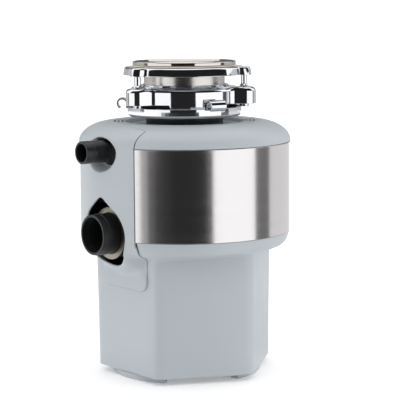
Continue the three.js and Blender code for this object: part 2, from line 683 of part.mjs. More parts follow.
add('top_cover', topCover(), CASING);
add('steel_band', steelBand(), STAINLESS);
add('lower_casing', lowerCasing(), CASING);
add('side_cover', sideCover(), CASING);
add('insulation', insulation(), FOAM);
add('bottom_cover', bottomCover(), CASING);
BOTTOM_SCREW_ANGLES.forEach((a, index) => add(`bottom_screw_${index + 1}`, bottomScrew(a), ZINC));
add('cable_bush', cableBush(), BLACK_RUBBER);

add('grind_chamber', chamber(), STAINLESS);
add('grind_ring', grindRing(), STAINLESS);
add('clamp_band', clampBand(), ZINC);
add('turntable', turntable(), STAINLESS);
add('hammer_1', hammer(0), STAINLESS);
add('hammer_2', hammer(180), STAINLESS);
add('hammer_pin_1', hammerPin(0), STAINLESS);
add('hammer_pin_2', hammerPin(180), STAINLESS);
add('turntable_nut', turntableNut(), ZINC);
add('upper_end_bell', upperEndBell(), CAST_ALUMINIUM);
add('shaft_seal', shaftSeal(), BLACK_RUBBER);
add('upper_bearing', upperBearing(), BRONZE);

add('motor_shaft', motorShaft(), ZINC);
add('rotor_core', rotorCore(), LAMINATION);
add('stator_core', statorCore(), LAMINATION);
add('upper_winding', windingEnd(110.3, 123), COPPER);
add('lower_winding', windingEnd(37, 49.7), COPPER);
add('motor_shell', motorShell(), ZINC);
add('lower_end_bell', lowerEndBell(), CAST_ALUMINIUM);
add('lower_bearing', lowerBearing(), BRONZE);
BOLT_ANGLES.forEach((a, index) => add(`through_bolt_${index + 1}`, throughBolt(a), ZINC));
add('start_capacitor', capacitor(), BLACK_PLASTIC);
add('overload_protector', overloadProtector(), BLACK_PLASTIC);
add('reset_button', resetButton(), RED_PLASTIC);

add('dishwasher_inlet', dishwasherInlet(), BLACK_PLASTIC);
add('knockout_plug', knockoutPlug(), BLACK_PLASTIC);
add('outlet_gasket', outletGasket(), BLACK_RUBBER);
add('outlet_pipe', outletPipe(), BLACK_PLASTIC);
add('outlet_flange', outletFlange(), STAINLESS);
[-1, 1].forEach((side, index) => add(`outlet_screw_${index + 1}`, outletScrew(side), ZINC));

export default disposal;
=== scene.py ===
"""Looks of the kitchen garbage disposal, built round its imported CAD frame. Profiles are in millimetres."""
import math

import bpy
import numpy as np
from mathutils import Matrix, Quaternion, Vector, geometry

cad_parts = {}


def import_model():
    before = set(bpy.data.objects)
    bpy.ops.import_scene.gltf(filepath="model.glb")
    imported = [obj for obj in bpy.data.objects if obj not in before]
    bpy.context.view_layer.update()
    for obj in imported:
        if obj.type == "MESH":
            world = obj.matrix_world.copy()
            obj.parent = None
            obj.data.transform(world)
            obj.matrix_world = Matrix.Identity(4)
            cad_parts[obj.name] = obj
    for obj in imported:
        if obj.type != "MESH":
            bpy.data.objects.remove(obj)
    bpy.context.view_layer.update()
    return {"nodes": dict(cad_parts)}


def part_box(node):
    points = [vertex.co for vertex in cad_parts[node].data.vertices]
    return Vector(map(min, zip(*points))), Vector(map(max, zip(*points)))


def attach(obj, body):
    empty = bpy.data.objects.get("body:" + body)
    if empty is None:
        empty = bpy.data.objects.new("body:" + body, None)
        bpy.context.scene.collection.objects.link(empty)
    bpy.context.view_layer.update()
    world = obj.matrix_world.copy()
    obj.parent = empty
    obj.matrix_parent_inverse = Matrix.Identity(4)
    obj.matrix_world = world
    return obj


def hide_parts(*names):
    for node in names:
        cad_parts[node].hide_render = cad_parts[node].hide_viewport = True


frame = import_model()

MM = 0.001


def span(node, axis):
    """Lowest and highest value of a CAD node along an axis, in millimetres."""
    low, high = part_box(node)
    return low[axis] / MM, high[axis] / MM


# ---- Places read from the frame ----
AXIS_Y = sum(span("sink_flange", 1)) / 2
BODY_R = span("steel_band", 0)[1]
BAND_LOW, BAND_HIGH = span("steel_band", 2)
DOME_CREST = span("top_cover", 2)[1]
RIM_R, RIM_TOP = span("sink_flange", 0)[1], span("sink_flange", 2)[1]
INLET_Z = sum(span("dishwasher_inlet", 2)) / 2
INLET_REACH = AXIS_Y - span("dishwasher_inlet", 1)[0]
OUTLET_Z = sum(span("outlet_pipe", 2)) / 2
OUTLET_REACH = AXIS_Y - span("outlet_pipe", 1)[0]
RIM_LOW = span("flange_gasket", 2)[1]
LOCK_LOW = span("lock_ring", 2)[0]
RING_LOW, RING_HIGH = span("mounting_ring", 2)
BACKUP_LOW, BACKUP_HIGH = span("backup_ring", 2)
NECK_LOW, NECK_HIGH = span("mounting_gasket", 2)
PAD_LOW = span("side_cover", 2)[0]
SKIRT_LOW = span("lower_casing", 2)[0]
CASING_TOP = span("lower_casing", 2)[1]

# ---- Shapes shared with the CAD ----
CASING_R = 95.6
CASING_SIDES = ((-90, 82), (-25, 83.5), (39.5, 83.5), (90, 100), (140.5, 83.5), (205, 83.5))
CORNER_SHARPNESS = 30
SIDES_TOP, ROUND_FROM = 131, 139
FOOT_ANGLES = (-90, 39.5, 140.5)
BOTTOM_SCREW_ANGLES = (-25, 90, 205)
SCREW_CIRCLE = 66.5
SCREW_ANGLES = (34.6, 154.6, 274.6)
LUG_ANGLES = (-8, 112, 232)
DOME_SHOULDER_R = 80
RECESS_R = 61
RECESS_Z = 267
COVER_HALF = 47.5
COVER_BACK = 88
PAD_HALF = 40.5
PAD_REACH = 84.8
OPENING_X, OPENING_Z, OPENING_R, OPENING_APEX = 2.5, 157, 34, 197.2
DISH_R = 21
DISH_REACH = 100
BEND_LOW, BEND_HIGH = 126, 148
BOTTOM_SCREW_CIRCLE = 70
OUTLET_SCREW_X = 34
FINE = 192  # facets round a large visible ring
GLOSSY_FROM = 201  # black plastic above this height is glossier


# ---- Mesh helpers ----
def rounded(corners, steps=5):
    """Points of a closed outline of (x, y, radius) corners, each corner turned into an arc of its radius."""
    points = []
    count = len(corners)
    for i, (x, y, radius) in enumerate(corners):
        corner = Vector((x, y))
        if radius <= 0:
            points.append((x, y))
            continue
        back = (Vector(corners[i - 1][:2]) - corner).normalized()
        ahead = (Vector(corners[(i + 1) % count][:2]) - corner).normalized()
        angle = back.angle(ahead)
        centre = corner + (back + ahead).normalized() * radius / math.sin(angle / 2)
        start = corner + back * radius / math.tan(angle / 2) - centre
        end = corner + ahead * radius / math.tan(angle / 2) - centre
        for step in range(steps + 1):
            share = step / steps
            sweep = math.pi - angle
            spoke = start * math.sin((1 - share) * sweep) + end * math.sin(share * sweep)
            points.append(tuple(centre + spoke / math.sin(sweep)))
    return points


def signed_area(points):
    array = np.array(points, float)
    ahead = np.roll(array, -1, axis=0)
    return float(np.sum(array[:, 0] * ahead[:, 1] - ahead[:, 0] * array[:, 1]) / 2)


def turned(profile, segments=FINE, reshape=None, start=0.0, end=360.0):
    """Vertices and faces of a closed (r, z) outline turned about the motor axis from start to end degrees."""
    outline = list(profile) if signed_area(profile) > 0 else list(reversed(profile))
    whole = abs(end - start) >= 360
    rows = segments if whole else segments + 1
    vertices = []
    for i in range(rows):
        degrees = start + (end - start) * i / segments
        across, along = math.cos(math.radians(degrees)), math.sin(math.radians(degrees))
        for r, z in outline:
            radius = reshape(r, degrees, z) if reshape else r
            height = z
            if isinstance(radius, tuple):
                radius, height = radius
            vertices.append((radius * across, radius * along, height))
    count = len(outline)
    faces = []
    for i in range(segments):
        here, there = i * count, ((i + 1) % rows) * count
        for j in range(count):
            k = (j + 1) % count
            faces.append((here + j, there + j, there + k, here + k))
    if not whole:
        faces.append(tuple(range(count)))
        faces.append(tuple(reversed(range(segments * count, rows * count))))
    return vertices, faces


def along_pipe(shape, z, x=0.0):
    """A shape turned about +Z, laid down so that its height reaches out along -Y at height z."""
    vertices, faces = shape
    return [(px + x, -pz, py + z) for px, py, pz in vertices], faces


def around(shape, radius, degrees):
    """A shape moved out to a radius and round to an angle about the motor axis."""
    across, along = math.cos(math.radians(degrees)), math.sin(math.radians(degrees))
    vertices, faces = shape
    shifted = [(x + radius, y, z) for x, y, z in vertices]
    return [(x * across - y * along, x * along + y * across, z) for x, y, z in shifted], faces


def moved(shape, x, y, z=0.0):
    vertices, faces = shape
    return [(px + x, py + y, pz + z) for px, py, pz in vertices], faces


def merged(*shapes):
    vertices, faces = [], []
    for more_vertices, more_faces in shapes:
        offset = len(vertices)
        vertices += more_vertices
        faces += [tuple(i + offset for i in face) for face in more_faces]
    return vertices, faces


def piece(name, shape, slot, replaces=(), body="housing", sharp=35):
    """One visible piece from a shape in millimetres about the motor axis."""
    vertices, faces = shape
    mesh = bpy.data.meshes.new(name)
    mesh.from_pydata([(x * MM, (y + AXIS_Y) * MM, z * MM) for x, y, z in vertices], [], faces)
    mesh.polygons.foreach_set("use_smooth", [True] * len(mesh.polygons))
    mesh.set_sharp_from_angle(angle=math.radians(sharp))
    mesh.update()
    obj = bpy.data.objects.new(name, mesh)
    bpy.context.scene.collection.objects.link(obj)
    flatten = obj.modifiers.new("flat_faces", "WEIGHTED_NORMAL")
    flatten.keep_sharp = True
    mesh.materials.append(FINISHES[slot])
    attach(obj, body)
    if replaces:
        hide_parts(*replaces)
    return obj


def inward_normals(loop):
    """Unit normals that point into a counterclockwise loop, one at each of its points."""
    tangent = np.roll(loop, -1, axis=0) - np.roll(loop, 1, axis=0)
    tangent /= np.linalg.norm(tangent, axis=1)[:, None]
    return np.stack([-tangent[:, 1], tangent[:, 0]], axis=1)


def extruded(outline, low, high, round_off=0.0, steps=3):
    """A closed (x, y) outline pushed from z = low to z = high, with its two rims rounded off."""
    points = np.array(outline if signed_area(outline) > 0 else list(reversed(outline)), float)
    inward = inward_normals(points)
    levels = [(0.0, low), (0.0, high)]
    if round_off:
        turns = [math.pi / 2 * k / steps for k in range(steps + 1)]
        rise = [(round_off * (1 - math.sin(t)), low + round_off * (1 - math.cos(t))) for t in turns]
        levels = rise + [(inset, high + low - z) for inset, z in reversed(rise)]
    vertices, faces = [], []
    count = len(points)
    for inset, z in levels:
        vertices += [(x, y, z) for x, y in points + inward * inset]
    for level in range(len(levels) - 1):
        for j in range(count):
            k = (j + 1) % count
            here, up = level * count, (level + 1) * count
            faces.append((here + j, here + k, up + k, up + j))
    faces.append(tuple(reversed(range(count))))
    faces.append(tuple(range((len(levels) - 1) * count, len(levels) * count)))
    return vertices, faces


def inside(points, loop):
    """Which of the points lie inside a closed loop."""
    ring = np.array(loop, float)
    ahead = np.roll(ring, -1, axis=0)
    result = np.zeros(len(points), bool)
    for (x0, y0), (x1, y1) in zip(ring, ahead):
        if y0 == y1:
            continue
        crosses = (points[:, 1] < y0) != (points[:, 1] < y1)
        result ^= crosses & (points[:, 0] < x0 + (points[:, 1] - y0) / (y1 - y0) * (x1 - x0))
    return result


def clearance(points, loop):
    """Distance from each point to a closed loop."""
    ring = np.array(loop, float)
    best = np.full(len(points), 1e9)
    for start, end in zip(ring, np.roll(ring, -1, axis=0)):
        along = end - start
        length = max(float(along @ along), 1e-12)
        share = np.clip((points - start) @ along / length, 0, 1)
        best = np.minimum(best, np.linalg.norm(points - start - share[:, None] * along, axis=1))
    return best


def resampled(points, step):
    """A closed loop with no edge longer than step."""
    result = []
    for (x0, y0), (x1, y1) in zip(points, points[1:] + points[:1]):
        parts = max(1, math.ceil(math.hypot(x1 - x0, y1 - y0) / step))
        for k in range(parts):
            result.append((x0 + (x1 - x0) * k / parts, y0 + (y1 - y0) * k / parts))
    return result


def skin(loops, fillets, place, grid, spacing, thickness):
    """A closed moulded shell.

    loops are the outline and its holes in (u, v), and grid is the points that the surface passes between.
    place(u, v, depth) gives the points that deep under the outer surface. Each loop's rim is rounded by its
    fillet, a radius or a function that gives one for each of its points. thickness may be either too."""
    sized = [resampled(list(loop), spacing) for loop in loops]
    sized = [
        loop if (signed_area(loop) > 0) == (i == 0) else list(reversed(loop)) for i, loop in enumerate(sized)
    ]

    def within(points):
        kept = inside(points, sized[0])
        for hole in sized[1:]:
            kept &= ~inside(points, hole)
        return kept

    coords, depths, edges = [], [], []
    radii = [
        f(np.array(loop)) if callable(f) else np.full(len(loop), float(f)) for loop, f in zip(sized, fillets)
    ]
    for loop, fillet in zip(sized, radii):
        array = np.array(loop)
        inward = inward_normals(array)
        for turn in np.radians((0, 22.5, 45, 67.5, 90)):
            offset = len(coords)
            coords += [tuple(p) for p in array + inward * fillet[:, None] * (1 - math.cos(turn))]
            depths += list(fillet * (1 - math.sin(turn)))
            edges += [(offset + i, offset + (i + 1) % len(array)) for i in range(len(array))]
    grid = np.array(grid, float)
    keep = within(grid)
    for loop, fillet in zip(sized, radii):
        keep &= clearance(grid, loop) > fillet.max() + spacing * 0.35
    coords += [tuple(p) for p in grid[keep]]
    depths += [0.0] * int(keep.sum())
    flat, _, triangles, origins, _, _ = geometry.delaunay_2d_cdt(
        [Vector(c) for c in coords], edges, [], 0, 1e-6, True
    )
    flat = np.array([tuple(p) for p in flat])
    depth = np.array([depths[o[0]] if o else 0.0 for o in origins])
    corners = np.array([list(t) for t in triangles])
    corners = [tuple(int(i) for i in t) for t in corners[within(flat[corners].mean(axis=1))]]
    count = len(flat)
    front = place(flat[:, 0], flat[:, 1], depth)
    wall = thickness(flat) if callable(thickness) else thickness
    back = place(flat[:, 0], flat[:, 1], np.maximum(depth, wall))
    sides = {pair for a, b, c in corners for pair in ((a, b), (b, c), (c, a))}
    faces = corners + [(c + count, b + count, a + count) for a, b, c in corners]
    faces += [(b, a, a + count, b + count) for a, b in sides if (b, a) not in sides]
    return compacted([tuple(p) for p in np.concatenate([front, back])], faces)


def compacted(vertices, faces):
    """Drops the corners that no face uses."""
    used = sorted({i for face in faces for i in face})
    new = {old: i for i, old in enumerate(used)}
    return [vertices[i] for i in used], [tuple(new[i] for i in face) for face in faces]


class Profile:
    """An open (r, z) line with rounded corners, measured along its length. Its outer side is on the left."""

    def __init__(self, corners, steps=8):
        points = []
        for i, (r, z, radius) in enumerate(corners):
            if radius <= 0 or i in (0, len(corners) - 1):
                points.append((r, z))
                continue
            closed = rounded([corners[i - 1][:2] + (0,), (r, z, radius), corners[i + 1][:2] + (0,)], steps)
            points += closed[1:-1]
        self.points = np.array(points)
        step = np.linalg.norm(np.diff(self.points, axis=0), axis=1)
        self.along = np.concatenate([[0], np.cumsum(step)])
        self.length = float(self.along[-1])

    def at(self, s):
        return np.interp(s, self.along, self.points[:, 0]), np.interp(s, self.along, self.points[:, 1])

    def outward(self, s, reach=0.6):
        """Unit normal, taken over a short stretch so that it turns smoothly."""
        r0, z0 = self.at(np.clip(s - reach, 0, self.length))
        r1, z1 = self.at(np.clip(s + reach, 0, self.length))
        size = np.hypot(r1 - r0, z1 - z0)
        return -(z1 - z0) / size, (r1 - r0) / size

    def where(self, heights):
        """Distance along the line at each height, on a line that only falls or only rises."""
        order = np.argsort(self.points[:, 1], kind="stable")
        return np.interp(heights, self.points[order, 1], self.along[order])


def revolved(line, first, lean=1, reshape=None):
    """A place() for skin() whose sheet is a line turned about the motor axis, laid flat from radius first.

    Where the line is upright, lean -1 lays the wall on its outer side, which turns that wall inside out."""

    def place(u, v, depth):
        s, turn = np.hypot(u, v) - first, np.arctan2(v, u)
        r, z = line.at(s)
        out, up = line.outward(s)
        r = r - out * depth * lean
        if reshape:
            r = reshape(r, np.degrees(turn), z)
        return np.stack([r * np.cos(turn), r * np.sin(turn), z - up * depth], axis=1)

    return place


def ring_grid(first, length, spacing, count):
    """Rows of points round a centre, from radius first outward, count points to a row."""
    points = []
    rows = max(1, round(length / spacing))
    for row in range(rows + 1):
        radius = first + length * row / rows
        for i in range(count):
            angle = 2 * math.pi * (i + row % 2 / 2) / count
            points.append((radius * math.cos(angle), radius * math.sin(angle)))
    return points


def circle(radius, count, centre=(0, 0)):
    turns = [2 * math.pi * i / count for i in range(count)]
    return [(centre[0] + radius * math.cos(t), centre[1] + radius * math.sin(t)) for t in turns]


def polar(radius, degrees):
    turn = math.radians(degrees)
    return radius * math.cos(turn), radius * math.sin(turn)


def arc(centre, radius, start, end, steps=12):
    """Points from start to end degrees."""
    turns = [math.radians(start + (end - start) * i / steps) for i in range(steps + 1)]
    return [(centre[0] + radius * math.cos(t), centre[1] + radius * math.sin(t)) for t in turns]


def bezier(a, b, c, d, steps=10):
    """Points of a cubic curve, both ends included."""
    points = []
    for i in range(steps + 1):
        t = i / steps
        w = ((1 - t) ** 3, 3 * t * (1 - t) ** 2, 3 * t * t * (1 - t), t**3)
        points.append(tuple(w[0] * a[k] + w[1] * b[k] + w[2] * c[k] + w[3] * d[k] for k in (0, 1)))
    return points


def lobed_radius(degrees, base, ear_centre, ear_radius, blend):
    """Radius, in one direction, of a disc with three ear discs melted into it."""
    to_ear = math.radians(min(abs((degrees - a + 180) % 360 - 180) for a in SCREW_ANGLES))
    low, high = base - 1, ear_centre + ear_radius + blend
    for _ in range(24):
        middle = (low + high) / 2
        from_disc = middle - base
        from_ear = math.hypot(middle * math.cos(to_ear) - ear_centre, middle * math.sin(to_ear)) - ear_radius
        near = max(blend - abs(from_disc - from_ear), 0) / blend
        if min(from_disc, from_ear) < near * near * blend / 4:
            low = middle
        else:
            high = middle
    return low


def lobed(base, ear_centre, ear_radius, blend, from_radius):
    """A reshape for turned() that pushes what is outside from_radius out into the three ears."""
    grown = {}

    def reshape(r, degrees, z):
        if r < from_radius:
            return r
        if degrees not in grown:
            grown[degrees] = lobed_radius(degrees, base, ear_centre, ear_radius, blend) - base
        return r + grown[degrees]

    return reshape


def side_share(degrees):
    """Radius of the six-sided casing in each direction, as a share of its round radius."""
    total = 0
    for facing, distance in CASING_SIDES:
        lean = np.maximum(np.cos(np.radians(degrees - facing)), 0)
        total = total + (lean * CASING_R / distance) ** CORNER_SHARPNESS
    return total ** (-1 / CORNER_SHARPNESS)


# ---- Materials ----
def tone(red, green, blue):
    """Scene colour of an 8-bit display colour."""
    shares = [c / 255 for c in (red, green, blue)]
    return (*(((c + 0.055) / 1.055) ** 2.4 if c > 0.04045 else c / 12.92 for c in shares), 1)


class Finish:
    """A procedural material built from mottled colour, uneven roughness and fine relief."""

    def __init__(self, name, colour, roughness, metallic=0.0):
        self.material = bpy.data.materials.new(name)
        self.material.use_nodes = True
        self.tree = self.material.node_tree
        self.shader = self.tree.nodes["Principled BSDF"]
        self.colour = colour
        self.set(**{"Base Color": colour, "Roughness": roughness, "Metallic": metallic})
        self.place = self.tree.nodes.new("ShaderNodeTexCoord").outputs["Object"]
        self.normal = None
        self.material.diffuse_color = colour

    def set(self, **values):
        for name, value in values.items():
            self.shader.inputs[name].default_value = value
        return self

    def node(self, kind, values=(), links=()):
        made = self.tree.nodes.new(kind)
        for name, value in dict(values).items():
            made.inputs[name].default_value = value
        for name, socket in dict(links).items():
            self.tree.links.new(socket, made.inputs[name])
        return made

    def noise(self, scale, detail=3.0, stretch=(1, 1, 1), roughness=0.5):
        """Noise with scale features to a metre, drawn out along the axes whose stretch is below 1."""
        mapped = self.node("ShaderNodeMapping", {"Scale": stretch}, {"Vector": self.place}).outputs[0]
        values = {"Scale": scale, "Detail": detail, "Roughness": roughness}
        return self.node("ShaderNodeTexNoise", values, {"Vector": mapped}).outputs[0]

    def ranged(self, value, low, high, start=0.3, end=0.7):
        values = {"From Min": start, "From Max": end, "To Min": low, "To Max": high}
        return self.node("ShaderNodeMapRange", values, {"Value": value}).outputs[0]

    def mottle(self, value, dark, light):
        """Base colour from dark to light shares of the finish's own colour."""
        mix = self.node("ShaderNodeMix")
        mix.data_type = "RGBA"
        self.tree.links.new(value, mix.inputs["Factor"])
        for socket, share in ((mix.inputs[6], dark), (mix.inputs[7], light)):
            socket.default_value = tuple(min(c * share, 1) for c in self.colour[:3]) + (1,)
        self.tree.links.new(mix.outputs[2], self.shader.inputs["Base Color"])
        return self

    def uneven(self, value, low, high):
        self.tree.links.new(self.ranged(value, low, high), self.shader.inputs["Roughness"])
        return self

    def uneven_below(self, value, low, high, height, above, over=1.0):
        """Uneven roughness that goes over into an even one in the last over millimetres under a height."""
        level = self.node("ShaderNodeSeparateXYZ", (), {"Vector": self.place}).outputs["Z"]
        share = self.ranged(level, 0.0, 1.0, (height - over) * MM, height * MM)
        links = {"Factor": share, "A": self.ranged(value, low, high)}
        roughness = self.node("ShaderNodeMix", {"B": above}, links).outputs[0]
        self.tree.links.new(roughness, self.shader.inputs["Roughness"])
        return self

    def relief(self, value, height, strength=1.0):
        """Bump of that height in millimetres, on top of the relief so far."""
        links = {"Height": value}
        if self.normal:
            links["Normal"] = self.normal
        bump = self.node("ShaderNodeBump", {"Strength": strength, "Distance": height * MM}, links)
        self.normal = bump.outputs[0]
        self.tree.links.new(self.normal, self.shader.inputs["Normal"])
        return self

    def brushed(self, amount):
        """Highlights drawn across grooves that run round the motor axis."""
        tangent = self.tree.nodes.new("ShaderNodeTangent")
        tangent.direction_type = "RADIAL"
        tangent.axis = "Z"
        self.tree.links.new(tangent.outputs[0], self.shader.inputs["Tangent"])
        return self.set(Anisotropic=amount)


def moulded_plastic():
    made = Finish("casing_plastic", tone(178, 185, 190), 0.42)
    made.mottle(made.noise(14, 4), 0.975, 1.02)
    made.uneven(made.noise(60, 4), 0.38, 0.47)
    made.relief(made.noise(1400, 2), 0.012)
    made.relief(made.noise(35, 2), 0.05, 0.6)
    return made.set(**{"IOR": 1.46, "Coat Weight": 0.06, "Coat Roughness": 0.3}).material


def band_steel():
    made = Finish("band_steel", tone(223, 220, 221), 0.14, 1.0)
    made.brushed(0.5)
    made.mottle(made.noise(500, 5, (0.02, 0.02, 1)), 0.975, 1.015)
    made.uneven(made.noise(300, 4, (0.03, 0.03, 1)), 0.12, 0.16)
    return made.relief(made.noise(1800, 3, (0.01, 0.01, 1)), 0.0008).material


def sleeve_steel():
    made = Finish("flange_steel", tone(213, 209, 205), 0.25, 1.0)
    made.brushed(0.4)
    made.mottle(made.noise(400, 4, (0.03, 0.03, 1)), 0.94, 1.03)
    made.uneven_below(made.noise(250, 3, (0.05, 0.05, 1)), 0.2, 0.3, RIM_LOW, 0.07)
    return made.relief(made.noise(1500, 2, (0.02, 0.02, 1)), 0.003).material


def chrome():
    made = Finish("chrome", tone(232, 234, 238), 0.05, 1.0)
    made.mottle(made.noise(45, 3), 0.96, 1.0)
    made.uneven(made.noise(90, 4), 0.035, 0.09)
    return made.relief(made.noise(70, 2), 0.03, 0.5).material


def black_rubber():
    made = Finish("black_rubber", tone(18, 18, 20), 0.55)
    made.mottle(made.noise(50, 5), 0.75, 1.35)
    made.uneven(made.noise(70, 4), 0.4, 0.62)
    return made.relief(made.noise(900, 3), 0.02).relief(made.noise(60, 2), 0.06, 0.5).material


def black_plastic():
    """The inlet pipe is the glossier of the two."""
    made = Finish("black_plastic", tone(25, 26, 29), 0.46)
    made.mottle(made.noise(40, 5), 0.8, 1.3)
    made.uneven_below(made.noise(55, 4), 0.42, 0.54, GLOSSY_FROM, 0.32)
    return made.relief(made.noise(1100, 2), 0.012).set(**{"IOR": 1.5}).material


def plain(name, colour, roughness, metallic, mottle, uneven, relief):
    """mottle and uneven are the noise with its two limits, and relief is the noise with its height."""
    made = Finish(name, colour, roughness, metallic)
    made.mottle(made.noise(*mottle[0]), *mottle[1:])
    if uneven:
        made.uneven(made.noise(*uneven[0]), *uneven[1:])
    return made.relief(made.noise(*relief[0]), relief[1]).material


EVEN = (1, 1, 1)
PLAIN_FINISHES = {
    "zinc_steel": (
        tone(196, 198, 202), 0.3, 1.0, ((220, 5), 0.86, 1.05), ((150, 4), 0.22, 0.42), ((900, 3), 0.008)),
    "grinding_steel": (
        tone(148, 144, 133), 0.4, 1.0, ((80, 5), 0.9, 1.04), ((200, 5), 0.32, 0.48),
        ((1200, 3, (0.1, 0.1, 1)), 0.0015)),
    "cast_aluminium": (
        tone(160, 162, 165), 0.55, 0.85, ((90, 6), 0.8, 1.08), ((130, 5), 0.45, 0.7),
        ((700, 5, EVEN, 0.7), 0.08)),
    "laminated_iron": (
        tone(96, 98, 102), 0.5, 0.7, ((1500, 2, (0.01, 0.01, 1)), 0.6, 1.15), ((100, 4), 0.4, 0.6),
        ((1500, 1, (0.005, 0.005, 1)), 0.12)),
    "copper": (
        tone(168, 98, 50), 0.4, 0.85, ((900, 3, (0.05, 0.05, 1)), 0.6, 1.2), ((120, 3), 0.3, 0.5),
        ((900, 2, (0.05, 0.05, 1)), 0.3)),
    "bronze": (tone(160, 128, 80), 0.5, 0.9, ((600, 4), 0.75, 1.1), None, ((1600, 3), 0.04)),
    "fibre": (
        tone(238, 230, 213), 0.85, 0.0, ((420, 6, EVEN, 0.7), 0.88, 1.05), ((300, 3), 0.75, 0.95),
        ((1100, 4), 0.05)),
    "foam": (
        tone(44, 44, 46), 0.95, 0.0, ((500, 5, EVEN, 0.8), 0.5, 1.5), None, ((420, 4, EVEN, 0.8), 0.5)),
    "red_plastic": (
        tone(186, 30, 28), 0.32, 0.0, ((120, 4), 0.9, 1.08), ((160, 3), 0.26, 0.4), ((1200, 2), 0.01)),
}
FINISHES = {
    "casing_plastic": moulded_plastic(),
    "band_steel": band_steel(),
    "flange_steel": sleeve_steel(),
    "chrome": chrome(),
    "black_rubber": black_rubber(),
    "black_plastic": black_plastic(),
}
FINISHES.update({name: plain(name, *values) for name, values in PLAIN_FINISHES.items()})


# ---- Covers ----
WALL = 2.5
GAP = 0.3
SEAM = 1.1
WINDOW_HALF = COVER_HALF + SEAM
CASING_LINE = [
    (BODY_R - 1, CASING_TOP, 0), (109, 141.2, 12), (96, 133.6, 6), (94.9, 70, 0), (94.2, SKIRT_LOW, 0),
]
VENT_RADII = (67, 71, 75)
VENT_ANGLES = (52, 97, 142, 187, 232)
DOME_FOOT = BAND_HIGH + 0.5
DOME = [(
    DOME_SHOULDER_R + (BODY_R - DOME_SHOULDER_R) * math.sin(t),
    DOME_FOOT + (DOME_CREST - DOME_FOOT) * math.cos(t), 0,
) for t in np.radians(np.arange(0, 91, 5))]


def smooth(share):
    share = np.clip(share, 0, 1)
    return share * share * (3 - 2 * share)


def vent_slot(radius, degrees, place, sweep=36, width=1.8):
    """Outline of a narrow curved slot with round ends."""
    start, end = degrees - sweep / 2, degrees + sweep / 2
    round_end = math.degrees(width / 2 / radius)
    outer = arc((0, 0), place(radius + width / 2), start, end, 24)
    inner = arc((0, 0), place(radius - width / 2), end, start, 24)
    return outer + [polar(place(radius), end + round_end)] + inner + [polar(place(radius), start - round_end)]


def cover_bend(wide, narrow):
    """The (x, z) curve by which the side cover's edge draws in to the pad, from its top down."""
    return bezier((wide, BEND_HIGH), (wide, 136), (narrow, 140), (narrow, BEND_LOW), 16)


def top_cover():
    inner = 42.4
    recess = [(inner, RECESS_Z, 0), (RECESS_R + 0.5, RECESS_Z, 1.5), (RECESS_R + 3, DOME_CREST, 2.5)]
    line = Profile(recess + DOME)

    def spread(r):
        """Distance from the middle of the flattened sheet, for a radius on the cover."""
        return inner + np.interp(r, line.points[:, 0], line.along)

    def flattened(x, y):
        r = math.hypot(x, y)
        return x / r * spread(r), y / r * spread(r)

    side = math.degrees(math.asin(WINDOW_HALF / BODY_R))
    edge = arc((0, 0), spread(BODY_R), -90 + side, 270 - side, 150)
    corner_y = math.sqrt(BODY_R**2 - WINDOW_HALF**2)
    steps = np.linspace(0, 1, 12)
    left = [flattened(-WINDOW_HALF, -corner_y + (corner_y - COVER_BACK) * t) for t in steps[1:-1]]
    across = [flattened(-WINDOW_HALF + 2 * WINDOW_HALF * t, -COVER_BACK) for t in np.linspace(0, 1, 40)]
    right = [flattened(WINDOW_HALF, -COVER_BACK - (corner_y - COVER_BACK) * t) for t in steps[1:-1]]
    slots = [vent_slot(radius, degrees, spread) for radius in VENT_RADII for degrees in VENT_ANGLES]
    loops = [edge + left + across + right, circle(inner, 120)] + slots
    grid = ring_grid(inner, line.length, 2.2, 168)
    return skin(loops, [0.25, 0.5] + [0.3] * len(slots), revolved(line, inner), grid, 2.4, WALL)


def sided(r, degrees, z):
    share = smooth((ROUND_FROM - z) / (ROUND_FROM - SIDES_TOP))
    return r * (1 - share + share * side_share(degrees))


def casing_reach(x, z):
    """How far the lower casing's front stands out from the axis at each x and height."""
    line = Profile(CASING_LINE)
    r = line.at(line.where(z))[0]
    degrees = np.full(np.shape(x), -90.0)
    for _ in range(6):
        radius = sided(r, degrees, z)
        degrees = -90 + np.degrees(np.arcsin(np.clip(x / radius, -1, 1)))
    return np.sqrt(np.maximum(radius * radius - x * x, 1))


def lower_casing():
    line = Profile(CASING_LINE)
    middle = 95

    def flattened(x, z):
        s = float(line.where(z))
        r = float(line.at(s)[0])
        degrees = -90.0
        for _ in range(6):
            degrees = -90 + math.degrees(math.asin(x / float(sided(r, np.array(degrees), z))))
        return polar(middle + s, degrees)

    window_low = 118.3
    half, left, right = WINDOW_HALF, -PAD_HALF - GAP, PAD_HALF + GAP
    path = [(-half, CASING_TOP)] + cover_bend(-half, left)
    path += [(left, window_low)] + [(x, window_low) for x in np.linspace(left, right, 20)[1:-1]]
    path += [(right, window_low)] + cover_bend(half, right)[::-1]
    side = math.degrees(math.asin(half / (BODY_R - 1)))
    top = arc((0, 0), middle, -90 + side, 270 - side, 180)
    edge = top + [flattened(x, z) for x, z in path]
    grid = ring_grid(middle, line.length, 4, 240)
    place = revolved(line, middle, reshape=sided)
    return skin([circle(middle + line.length, 240), edge], [1.4, 0.25], place, grid, 4, 3)


def steel_band():
    side = math.degrees(math.asin(WINDOW_HALF / BODY_R))
    sheet = 1.4
    inner = BODY_R - sheet
    section = rounded([
        (inner, BAND_LOW, 0.4), (BODY_R, BAND_LOW, 0.5), (BODY_R, BAND_HIGH, 0.5), (inner, BAND_HIGH, 0.4),
    ])
    return turned(section, 216, None, -90 + side, 270 - side)


